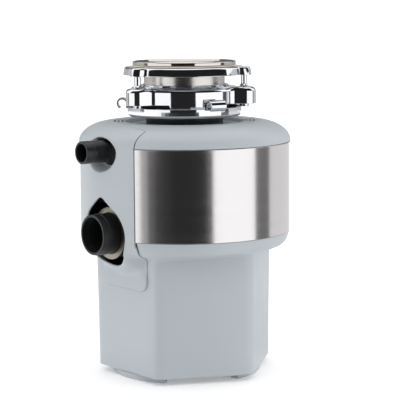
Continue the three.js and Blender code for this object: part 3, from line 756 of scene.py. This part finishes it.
def teardrop():
    """Outline of the opening round the drain outlet, in x and z."""
    tip_r = 8
    tip_z = OPENING_APEX - tip_r
    start = 90 - math.degrees(math.acos((OPENING_R - tip_r) / (tip_z - OPENING_Z)))
    tip = arc((OPENING_X, tip_z), tip_r, start, 180 - start, 10)
    return tip + arc((OPENING_X, OPENING_Z), OPENING_R, 180 - start, 360 + start, 60)


def side_cover():
    line = Profile([(PAD_REACH, PAD_LOW, 0), (PAD_REACH, 119.5, 14), (BODY_R, 143.5, 16)] + DOME[::-1])
    flat_over = 22  # height in which the round belly goes over into the pad
    edge_step, edge_start, edge_width = 1.0, 14, 13  # the sides draw back to just proud of the lower casing
    edge_low, edge_low_over, edge_high, edge_high_over = 112, 9, 150, 6
    chin, chin_top, chin_over, chin_start, chin_width = 7.0, 150, 27, 1, 11  # swelling under the opening
    dish_right, dish_up, dish_over = 0.8, 1.45, 6  # the dish is longer to the right and lower at its top

    def surface(x, s):
        r, z = line.at(s)
        bulge = np.sqrt(np.maximum(r * r - x * x, 1))
        share = smooth((ROUND_FROM - z) / flat_over)
        reach = bulge * (1 - share) + r * share
        half_width = np.interp(z, (BEND_LOW, BEND_HIGH), (PAD_HALF, COVER_HALF))
        edge = smooth((np.abs(x) - half_width + edge_start) / edge_width)
        edge = edge * smooth((edge_high - z) / edge_high_over) * smooth((z - edge_low) / edge_low_over)
        reach = reach * (1 - edge) + (casing_reach(x, z) + edge_step) * edge
        from_opening = np.hypot(x - OPENING_X, z - OPENING_Z) - OPENING_R
        swelling = chin * smooth((chin_top - z) / chin_over)
        reach = reach + swelling * (1 - smooth((from_opening - chin_start) / chin_width)) * (1 - edge)
        across = np.where(x > 0, x * dish_right, x)
        above = np.where(z > INLET_Z, (z - INLET_Z) * dish_up, z - INLET_Z)
        dish = 1 - smooth((np.hypot(across, above) - (DISH_R - 5)) / dish_over)
        reach = reach - np.maximum(reach - DISH_REACH, 0) * dish
        return np.stack([x, -reach, z], axis=1)

    def place(u, v, depth):
        step = 0.4
        across = surface(u + step, v) - surface(u - step, v)
        up = surface(u, np.minimum(v + step, line.length)) - surface(u, np.maximum(v - step, 0))
        normal = np.cross(across, up)
        normal /= np.linalg.norm(normal, axis=1)[:, None]
        return surface(u, v) - normal * depth[:, None]

    def flattened(points):
        return [(x, float(line.where(z))) for x, z in points]

    half, left, right = COVER_HALF, -PAD_HALF, PAD_HALF
    corner = 10
    outline = arc((left + corner, PAD_LOW + corner), corner, 180, 270, 8)
    outline += arc((right - corner, PAD_LOW + corner), corner, 270, 360, 8)
    outline += cover_bend(half, right)[::-1]
    back = COVER_BACK + GAP
    on_dome = line.points[:, 1] > BAND_HIGH
    dome_r, dome_s = line.points[on_dome, 0], line.along[on_dome]
    order = np.argsort(dome_r)
    top = [
        (x, float(np.interp(math.hypot(x, back), dome_r[order], dome_s[order])))
        for x in np.linspace(half, -half, 40)
    ]
    loop = flattened(outline) + top + flattened(cover_bend(-half, left))
    inlet_hole_r = 15.2
    hole = flattened(circle(inlet_hole_r, 48, (0, INLET_Z)))
    grid = [(x, s) for s in np.arange(1, line.length, 2.6) for x in np.arange(-half + 1.3, half, 2.6)]
    rings = [DISH_R - 5 + k * 0.75 for k in range(17)]
    near = [p for r in rings for p in flattened(circle(r, 60, (0, INLET_Z)))]
    grid = [(x, s) for x, s in grid if not DISH_R - 7 < math.hypot(x, line.at(s)[1] - INLET_Z) < DISH_R + 9]
    soft_from = float(line.where(130.0))
    opening = flattened(teardrop())

    def fillet(points):
        """The rim is sharper at the seams and softer round the pad."""
        return 0.35 + 0.85 * smooth((soft_from - points[:, 1]) / 10)

    def wall(points):
        """The wall thins toward the opening."""
        return 1.6 + 1.4 * smooth((clearance(points, opening) - 2) / 8)

    return skin([loop, hole, opening], [fillet, 0.5, 0.7], place, grid + near, 1.0, wall)


def base_plate():
    """Six-sided plate inside the skirt with arc feet, screw posts, and bosses round its holes."""
    plate_r, plate_low, plate_high, rim_steps = 90, 7, 9.5, 240
    outline = []
    for i in range(rim_steps):
        degrees = 360 * i / rim_steps
        x, y = polar(plate_r * float(side_share(degrees)), degrees)
        outline.append((-x, y))
    reset_x = sum(span("reset_button", 0)) / 2
    cable_y = sum(span("cable_bush", 1)) / 2 - AXIS_Y
    screws = [polar(BOTTOM_SCREW_CIRCLE, a) for a in BOTTOM_SCREW_ANGLES]
    holes = [circle(10, 48), circle(4.9, 32, (-reset_x, 0)), circle(10.6, 48, (0, cable_y))]
    holes += [circle(2.4, 20, (-x, y)) for x, y in screws]
    grid = [(x, y) for x in np.arange(-93, 94, 6.0) for y in np.arange(-93, 94, 6.0)]

    def place(u, v, depth):
        return np.stack([-u, v, plate_low + depth], axis=1)

    fillets = [0.6, 0.5] + [0.4] * (len(holes) - 1)
    shapes = [skin([outline] + holes, fillets, place, grid, 6, plate_high - plate_low)]
    foot_in, foot_out, stem_out, half_sweep = 70, 80, 76.8, 35
    for middle in FOOT_ANGLES:
        start, end = middle - half_sweep, middle + half_sweep
        inner = arc((0, 0), foot_in, end, start, 44)
        shapes.append(extruded(arc((0, 0), foot_out, start, end, 48) + inner, 0, SKIRT_LOW - GAP, 0.9))
        shapes.append(extruded(arc((0, 0), stem_out, start, end, 48) + inner, SKIRT_LOW - 2, plate_low + 0.5))
    for x, y, inner, outer in ((0, 0, 10, 13), (reset_x, 0, 4.9, 7.4), (0, cable_y, 10.6, 14.5)):
        section = rounded([(inner, 5.6, 0.4), (outer, 5.6, 0.6), (outer, 7.4, 0), (inner, 7.4, 0)])
        shapes.append(moved(turned(section, 64), x, y))
    for x, y in screws:
        shapes.append(moved(turned([(2.4, 8), (5, 8), (5, 19.7), (2.4, 19.7)], 32), x, y))
    return merged(*shapes)


# ---- Sink mount ----
def sink_flange():
    return turned(rounded([
        (42, 295, 0.5), (43.5, 295, 0.5), (43.5, 302.6, 0), (42.8, 302.6, 0.2), (42.8, 305.3, 0.2),
        (43.5, 305.3, 0),
        (43.5, 328.5, 2), (46.5, 331.3, 0.6), (54.9, 331.3, 0.3), (RIM_R, 331.9, 0.3), (RIM_R, RIM_TOP, 1.0),
        (53.6, RIM_TOP, 1.2), (50.6, 333.1, 2), (45.5, 332.6, 2.5), (42, 327, 3),
    ]))


def flange_gasket():
    low, high = span("flange_gasket", 2)
    section = rounded([(46.8, low, 0.2), (56.5, low, 0.3), (56.5, high, 0.3), (46.8, high, 0.2)])

    def wavy(r, degrees, z):
        swell = 0.18 * math.sin(math.radians(3 * degrees + 40)) + 0.1 * math.sin(math.radians(7 * degrees))
        return (r + swell, z) if r > 50 else (r, z)

    return turned(section, FINE, wavy)


def backup_ring():
    base, flare, web = 64.8, 0.8, BACKUP_HIGH - 2.4
    section = rounded([
        (62.4 + flare, BACKUP_LOW, 0.5), (base + flare, BACKUP_LOW, 0.6), (base - flare, BACKUP_HIGH, 2.4),
        (45.6, BACKUP_HIGH, 0.4), (45.6, web, 0.4), (62.4 - flare, web, 1),
    ])
    return turned(section, 288, lobed(base, ear_centre=65.5, ear_radius=8.5, blend=3, from_radius=60))


def mounting_ring():
    base, top, web = 58.5, 308.5, 305.4
    skirt_top, ear_low, skirt_gap_half = 300, 290.7, 32  # the skirt is cut short below each ear
    section = rounded([
        (55.7, RING_LOW, 0.6), (base, RING_LOW, 0.8), (base, top, 5), (48.5, top, 1.2),
        (46.6, RING_HIGH, 0.8),
        (44.5, RING_HIGH, 0.5), (44.5, web, 0), (55.7, web, 3),
    ])
    spread = lobed(base, ear_centre=67, ear_radius=12.2, blend=12, from_radius=50)

    def reshape(r, degrees, z):
        to_ear = min(abs((degrees - a + 180) % 360 - 180) for a in SCREW_ANGLES)
        if to_ear < skirt_gap_half and z < skirt_top:
            z = skirt_top - (skirt_top - z) * (skirt_top - ear_low) / (skirt_top - RING_LOW)
        return spread(r, degrees, z), z

    return turned(section, 288, reshape)


def slotted_head(radius, low, high, depth, width=1.4):
    """A pan head below z = high with a straight slot across its underside."""
    slot_top = low + depth
    disc = turned(rounded([(0, slot_top, 0), (radius, slot_top, 0), (radius, high, 0.3), (0, high, 0)]), 48)
    lean = math.degrees(math.asin(width / 2 / radius))
    halves = []
    for turn in (0, 180):
        outline = arc((0, 0), radius, turn + lean, turn + 180 - lean, 24)
        halves.append(extruded(outline, low, slot_top, 0.3, 2))
    return merged(disc, *halves)


def mounting_screw(degrees):
    shank_r, tip_r = 3.6, 2.2
    shank = turned(rounded([
        (0, 290.2, 0), (shank_r, 290.2, 0), (shank_r, 308.6, 0), (5, 308.6, 0.3), (4.8, 309.8, 0.8),
        (shank_r, 311.6, 0.8),
        (shank_r, 325.2, 0.4), (tip_r, 327, 0.3), (0, 327, 0),
    ]), 48)
    return around(merged(slotted_head(5.2, 287.6, 290.6, 1.4), shank), SCREW_CIRCLE, degrees)


def lug(degrees):
    """A strip that rises from the locking ring and curls outward into a socket for a turning bar."""
    centre, curl_r, strip, half = (66.8, 290.6), 5.9, 1.8, 9
    low = 285.5
    face = centre[0] - curl_r
    curl = [(face, low), (face, centre[1])] + arc(centre, curl_r, 180, -70, 36)[1:]
    curl += arc(centre, curl_r - strip, -70, 180, 30) + [(face + strip, low)]
    vertices, faces = extruded(curl, -half, half, 0.5)
    socket = [(x, -y, z) for x, z, y in vertices], faces
    return around(socket, 0, degrees)


def lock_ring():
    high, ramp_from, ramp_to = 287.2, -24, -10
    section = rounded([
        (42.5, LOCK_LOW, 0.5), (61.3, LOCK_LOW, 3.4), (61.3, high, 0.7), (58.8, high, 0.6),
        (58.8, 279.4, 1.5),
        (42.5, 279.4, 0.5),
    ])
    shapes = [turned(section)]
    ramp = rounded([(58.9, 286.6, 0), (61.2, 286.6, 0), (61.9, 289.2, 0.5), (58.9, 289.2, 0.5)])
    for degrees in LUG_ANGLES:
        shapes.append(lug(degrees))
        shapes.append(turned(ramp, 24, None, degrees + ramp_from, degrees + ramp_to))
    return merged(*shapes)


def mounting_gasket():
    neck = 41.8
    return turned(rounded([
        (38.5, NECK_LOW, 0.5), (neck + 0.3, NECK_LOW, 0.8), (neck + 0.3, 265.4, 0.8),
        (neck - 0.5, 266.6, 0.8),
        (neck - 0.5, 271, 1), (neck + 0.1, 273, 1.5), (neck - 0.2, 276.5, 0.8), (neck - 0.2, 279.7, 0.3),
        (57, 279.7, 0.8), (57, 284.5, 0.8), (47.5, 286.5, 1.5), (47.5, NECK_HIGH, 0.6),
        (43.9, NECK_HIGH, 0.6),
        (43.9, 294.4, 0.3), (42.2, 293, 0.3), (38.5, 287, 1.5),
    ]))


def splash_baffle():
    """A rubber cup whose floor is cut into eight flaps round a hole."""
    hole_r, slit_end, slit_half = 13, 33, 0.6
    line = Profile([(hole_r, 300, 0), (39.2, 306, 3), (39.2, 327.4, 4), (42.2, 331.3, 0)])
    star = []
    for index in range(8):
        middle = 22.5 + index * 45
        lean = math.degrees(math.asin(slit_half / hole_r))
        tip = math.degrees(math.asin(slit_half / slit_end))
        star += arc((0, 0), hole_r, middle - 45 + lean, middle - lean, 8)
        star += [polar(slit_end, middle - tip), polar(slit_end, middle + tip)]
    grid = ring_grid(hole_r, line.length, 2.4, 110)
    place = revolved(line, hole_r, lean=-1)
    return skin([circle(hole_r + line.length, 120), star], [0.6, 0.2], place, grid, 2.4, 2.4)


# ---- Pipes ----
def dishwasher_inlet():
    pipe_r, bore, ridge = 11.85, 9.5, 0.45
    crest, first_ridge, ridge_step = pipe_r - 0.05, 107, 1.9
    ridges = []
    for index in range(9):
        start = first_ridge + index * ridge_step
        ridges += [(pipe_r - ridge, start, 0), (crest, start + 0.7, 0.2), (crest, start + 1.2, 0.2)]
    section = rounded([
        (bore, 79.7, 0.3), (pipe_r, 79.7, 0.3), (pipe_r, 99, 0), (14.5, 99, 0.5), (14.5, 101, 0.8),
        (12.8, 102.4, 1.2),
        (pipe_r - ridge, 104.6, 0.8), (pipe_r - ridge, 106.6, 0), *ridges, (pipe_r - ridge, 124.6, 0),
        (pipe_r, 126.4, 0.5),
        (pipe_r, INLET_REACH, 0.6), (bore, INLET_REACH, 0.6),
    ], 3)
    return along_pipe(turned(section, 96), INLET_Z)


def outlet_pipe():
    bore, pipe_r = 18.5, 21.25
    section = rounded([
        (bore, 95.9, 0.4), (26, 95.9, 0.5), (26, 98.4, 0.5), (pipe_r, 98.4, 0.8), (pipe_r, 110.8, 0.3),
        (21.9, 111.6, 0.4), (21.9, 114.4, 0.4), (pipe_r, 115.2, 0.3), (pipe_r, OUTLET_REACH, 0.8),
        (bore, OUTLET_REACH, 0.8), (bore, 116, 0), (bore - 0.5, 115, 0.3), (bore - 0.5, 104, 0.3),
        (bore, 103, 0),
    ], 4)
    return along_pipe(turned(section, 128), OUTLET_Z)


def outlet_gasket():
    low, high = 93.2, 95.6
    section = rounded([(18.5, low, 0.6), (26, low, 0.8), (26, high, 0.8), (18.5, high, 0.6)])
    return along_pipe(turned(section, 96), OUTLET_Z)


def outlet_flange():
    """Steel plate round the pipe with an ear for each screw."""
    near, far, plate_r, ear_x, ear_r = 98.7, 101.2, 27.5, OUTLET_SCREW_X, 7
    lean = math.degrees(math.asin(ear_r / plate_r))
    outline = []
    for turn, centre_x in ((0, ear_x), (180, -ear_x)):
        outline += arc((centre_x, 0), ear_r, turn - 90, turn + 90, 16)
        outline += arc((0, 0), plate_r, turn + lean + 3, turn + 180 - lean - 3, 40)
    holes = [circle(21.75, 72), circle(2.5, 20, (ear_x, 0)), circle(2.5, 20, (-ear_x, 0))]
    grid = [(x, z) for x in np.arange(-39, 40, 4.0) for z in np.arange(-26, 27, 4.0)]

    def place(u, v, depth):
        return np.stack([u, -(far - depth), v + OUTLET_Z], axis=1)

    return skin([outline] + holes, [0.4, 0.4, 0.3, 0.3], place, grid, 4, far - near)


def outlet_screw(side):
    head = slotted_head(4.2, -2, 0, 0.9, 1.1)
    turned_head = [(x, y, -z) for x, y, z in head[0]], [tuple(reversed(face)) for face in head[1]]
    shank = turned([(0, -15.5), (2.2, -15.5), (2.2, 0.2), (0, 0.2)], 24)
    return along_pipe(moved(merged(turned_head, shank), 0, 0, 101.5), OUTLET_Z, side * OUTLET_SCREW_X)


# ---- Underneath ----
def bottom_screw(degrees):
    shank = turned([(0, 6.5), (2, 6.5), (2, 23.5), (0, 23.5)], 24)
    return around(merged(slotted_head(4, 4.4, 6.7, 1.1, 1.1), shank), BOTTOM_SCREW_CIRCLE, degrees)


def cable_bush():
    centre_y = sum(span("cable_bush", 1)) / 2 - AXIS_Y
    section = rounded([
        (6, 4.8, 0.8), (13, 4.8, 0.8), (13, 6.7, 0.5), (10, 6.7, 0.3), (10, 9.8, 0.3), (12.4, 9.8, 0.4),
        (12.4, 12, 0.6),
        (6, 12, 0.8),
    ])
    return moved(turned(section, 64), 0, centre_y)


def reset_button():
    centre_x = sum(span("reset_button", 0)) / 2
    section = rounded([
        (0, 3.4, 0), (4.2, 3.4, 0.9), (4.2, 10.2, 0.4), (3, 10.2, 0.2), (3, 13.6, 0.4), (0, 13.6, 0),
    ])
    return moved(turned(section, 48), centre_x, 0)


piece("top_cover_shell", top_cover(), "casing_plastic", ["top_cover"])
piece("lower_casing_shell", lower_casing(), "casing_plastic", ["lower_casing"])
piece("side_cover_shell", side_cover(), "casing_plastic", ["side_cover"])
piece("base_plate", base_plate(), "casing_plastic", ["bottom_cover"])
piece("band_sheet", steel_band(), "band_steel", ["steel_band"], sharp=60)
piece("sink_flange_rim", sink_flange(), "flange_steel", ["sink_flange"])
piece("fibre_gasket", flange_gasket(), "fibre", ["flange_gasket"])
piece("backup_ring_plated", backup_ring(), "chrome", ["backup_ring"])
piece("mounting_ring_plated", mounting_ring(), "chrome", ["mounting_ring"])
for number, degrees in enumerate(SCREW_ANGLES, 1):
    piece(f"mounting_screw_{number}_plated", mounting_screw(degrees), "chrome", [f"mounting_screw_{number}"])
piece("lock_ring_plated", lock_ring(), "chrome", ["lock_ring"], "lock_ring")
piece("neck_rubber", mounting_gasket(), "black_rubber", ["mounting_gasket"])
piece("baffle_rubber", splash_baffle(), "black_rubber", ["splash_baffle"], "splash_baffle")
piece("inlet_pipe_ribbed", dishwasher_inlet(), "black_plastic", ["dishwasher_inlet"])
piece("outlet_pipe_stepped", outlet_pipe(), "black_plastic", ["outlet_pipe"])
piece("outlet_seal", outlet_gasket(), "black_rubber", ["outlet_gasket"])
piece("outlet_plate", outlet_flange(), "grinding_steel", ["outlet_flange"])
for number, side in enumerate((-1, 1), 1):
    piece(f"outlet_screw_{number}_slotted", outlet_screw(side), "zinc_steel", [f"outlet_screw_{number}"])
for number, degrees in enumerate(BOTTOM_SCREW_ANGLES, 1):
    piece(f"bottom_screw_{number}_slotted", bottom_screw(degrees), "zinc_steel", [f"bottom_screw_{number}"])
piece("cable_bush_rubber", cable_bush(), "black_rubber", ["cable_bush"])
piece("reset_button_cap", reset_button(), "red_plastic", ["reset_button"], "reset_button")

NODE_FINISHES = {
    "zinc_steel": (
        "snap_ring", "clamp_band", "turntable_nut", "motor_shaft", "motor_shell", "through_bolt_1",
        "through_bolt_2", "through_bolt_3", "through_bolt_4",
    ),
    "grinding_steel": (
        "grind_chamber", "grind_ring", "turntable", "hammer_1", "hammer_2", "hammer_pin_1", "hammer_pin_2",
    ),
    "cast_aluminium": ("upper_end_bell", "lower_end_bell"),
    "laminated_iron": ("rotor_core", "stator_core"),
    "copper": ("upper_winding", "lower_winding"),
    "bronze": ("upper_bearing", "lower_bearing"),
    "foam": ("insulation",),
    "black_rubber": ("shaft_seal",),
    "black_plastic": ("start_capacitor", "overload_protector", "knockout_plug"),
}
for finish, nodes in NODE_FINISHES.items():
    for node in nodes:
        mesh = frame["nodes"][node].data
        mesh.materials.clear()
        mesh.materials.append(FINISHES[finish])


# ---- Stage, light and camera ----
TARGET = Vector((0, AXIS_Y * MM, 0.1847))
AZIMUTH, PITCH, DISTANCE = math.radians(52), math.radians(7.2), 1.788
LENS, SENSOR = 148.5, 36
AIM_RIGHT, ROLL = 0.016, math.radians(-0.4)
BACK = Vector((math.sin(AZIMUTH) * math.cos(PITCH), -math.cos(AZIMUTH) * math.cos(PITCH), math.sin(PITCH)))
RIGHT = Vector((math.cos(AZIMUTH), math.sin(AZIMUTH), 0))
TO_CAMERA = Vector((math.sin(AZIMUTH), -math.cos(AZIMUTH), 0))


def emitting(name, brightness):
    made = bpy.data.materials.new(name)
    made.use_nodes = True
    inputs = made.node_tree.nodes["Principled BSDF"].inputs
    inputs["Base Color"].default_value = (0, 0, 0, 1)
    inputs["Roughness"].default_value = 1
    inputs["Specular IOR Level"].default_value = 0
    inputs["Emission Color"].default_value = (1, 1, 1, 1)
    inputs["Emission Strength"].default_value = brightness
    return made


def panel(name, start, end, near, far, brightness, diffuse=True):
    """A glowing studio panel, curved round the object between two (distance, height) edges.

    start and end are degrees right of the camera's direction. The camera doesn't see the panel, the object
    mirrors it, and it lights the object only where diffuse is on."""
    steps = max(2, round(abs(end - start) / 4))
    vertices, faces = [], []
    for i in range(steps + 1):
        turn = math.radians(start + (end - start) * i / steps)
        out = TO_CAMERA * math.cos(turn) + RIGHT * math.sin(turn)
        for distance, height in (near, far):
            vertices.append((out.x * distance, AXIS_Y * MM + out.y * distance, height))
    for i in range(steps):
        faces.append((2 * i, 2 * i + 2, 2 * i + 3, 2 * i + 1))
    mesh = bpy.data.meshes.new(name)
    mesh.from_pydata(vertices, [], faces)
    mesh.materials.append(emitting(name, brightness))
    obj = bpy.data.objects.new(name, mesh)
    bpy.context.scene.collection.objects.link(obj)
    obj.visible_camera = False
    obj.visible_shadow = False
    obj.visible_diffuse = diffuse


def floor():
    mesh = bpy.data.meshes.new("floor")
    reach = 12
    corners = [(-reach, -reach, 0), (reach, -reach, 0), (reach, reach, 0), (-reach, reach, 0)]
    mesh.from_pydata(corners, [], [(0, 1, 2, 3)])
    finish = Finish("floor_paper", (0.93, 0.93, 0.93, 1), 0.8)
    finish.mottle(finish.noise(3, 3), 0.995, 1.005)
    finish.set(**{"Emission Color": (1, 1, 1, 1), "Emission Strength": 0.2})
    mesh.materials.append(finish.material)
    obj = bpy.data.objects.new("floor", mesh)
    bpy.context.scene.collection.objects.link(obj)


def world():
    made = bpy.data.worlds.new("studio")
    made.use_nodes = True
    background = made.node_tree.nodes["Background"]
    background.inputs["Color"].default_value = (1, 1, 1, 1)
    background.inputs["Strength"].default_value = 1.2
    bpy.context.scene.world = made


def camera():
    data = bpy.data.cameras.new("camera")
    data.lens = LENS
    data.sensor_width = SENSOR
    data.clip_end = 40
    obj = bpy.data.objects.new("camera", data)
    obj.location = TARGET + BACK * DISTANCE
    look = (TARGET + RIGHT * AIM_RIGHT - obj.location).to_track_quat("-Z", "Y")
    obj.rotation_mode = "QUATERNION"
    obj.rotation_quaternion = look @ Quaternion((0, 0, 1), ROLL)
    bpy.context.scene.collection.objects.link(obj)
    bpy.context.scene.camera = obj


# Height bands of the studio wall. The steel band mirrors the lowest, the locking and mounting rings the
# middle and the backup ring the top. The back cards grey the rings' far edges and tops.
WALL_R = 0.95
FLOOR_NEAR, FLOOR_FAR = (0.13, 0.001), (WALL_R, 0.001)
LOW_FROM, LOW_TO, MIDDLE_TO, TOP_TO = ((WALL_R, height) for height in (0.002, 0.208, 0.49, 1.7))
BACK_FROM, BACK_TO, HIGH_BACK_TO = ((WALL_R, height) for height in (0.21, 0.43, 1.2))
LIGHTING_TO = 90  # a card that ends further right than this is mirrored and gives no light
LOW_CARDS = (
    (-100, -62, 1.4), (-62, -54, 1.3), (-54, -46, 1.15), (-46, -38, 0.42), (-38, -30, 0.12),
    (-30, -22, 0.055),
    (-22, -14, 0.04), (-14, 21, 0.028), (21, 28, 0.09), (28, 76.5, 1.27), (76.5, 97.5, 0.17),
    (97.5, 150, 0.8),
)
MIDDLE_CARDS = (
    (-130, -97, 0.62), (-97, -86, 0.15), (-86, -28, 1.2), (-28, 23, 0.02), (23, 86, 1.27), (86, 97, 0.1),
    (97, 130, 0.62),
)
floor()
world()
for index, (start, end, brightness) in enumerate(LOW_CARDS):
    panel(f"low_card_{index}", start, end, LOW_FROM, LOW_TO, brightness, end < LIGHTING_TO)
    panel(f"floor_card_{index}", start, end, FLOOR_NEAR, FLOOR_FAR, brightness, False)
for index, (start, end, brightness) in enumerate(MIDDLE_CARDS):
    panel(f"middle_card_{index}", start, end, LOW_TO, MIDDLE_TO, brightness, end < LIGHTING_TO)
panel("top_card", -70, 86, MIDDLE_TO, TOP_TO, 0.015, False)
panel("back_card", 130, 230, BACK_FROM, BACK_TO, 0.5, False)
panel("high_back_card", 130, 230, BACK_TO, HIGH_BACK_TO, 0.17, False)
camera()
bpy.context.scene.view_settings.view_transform = "Standard"
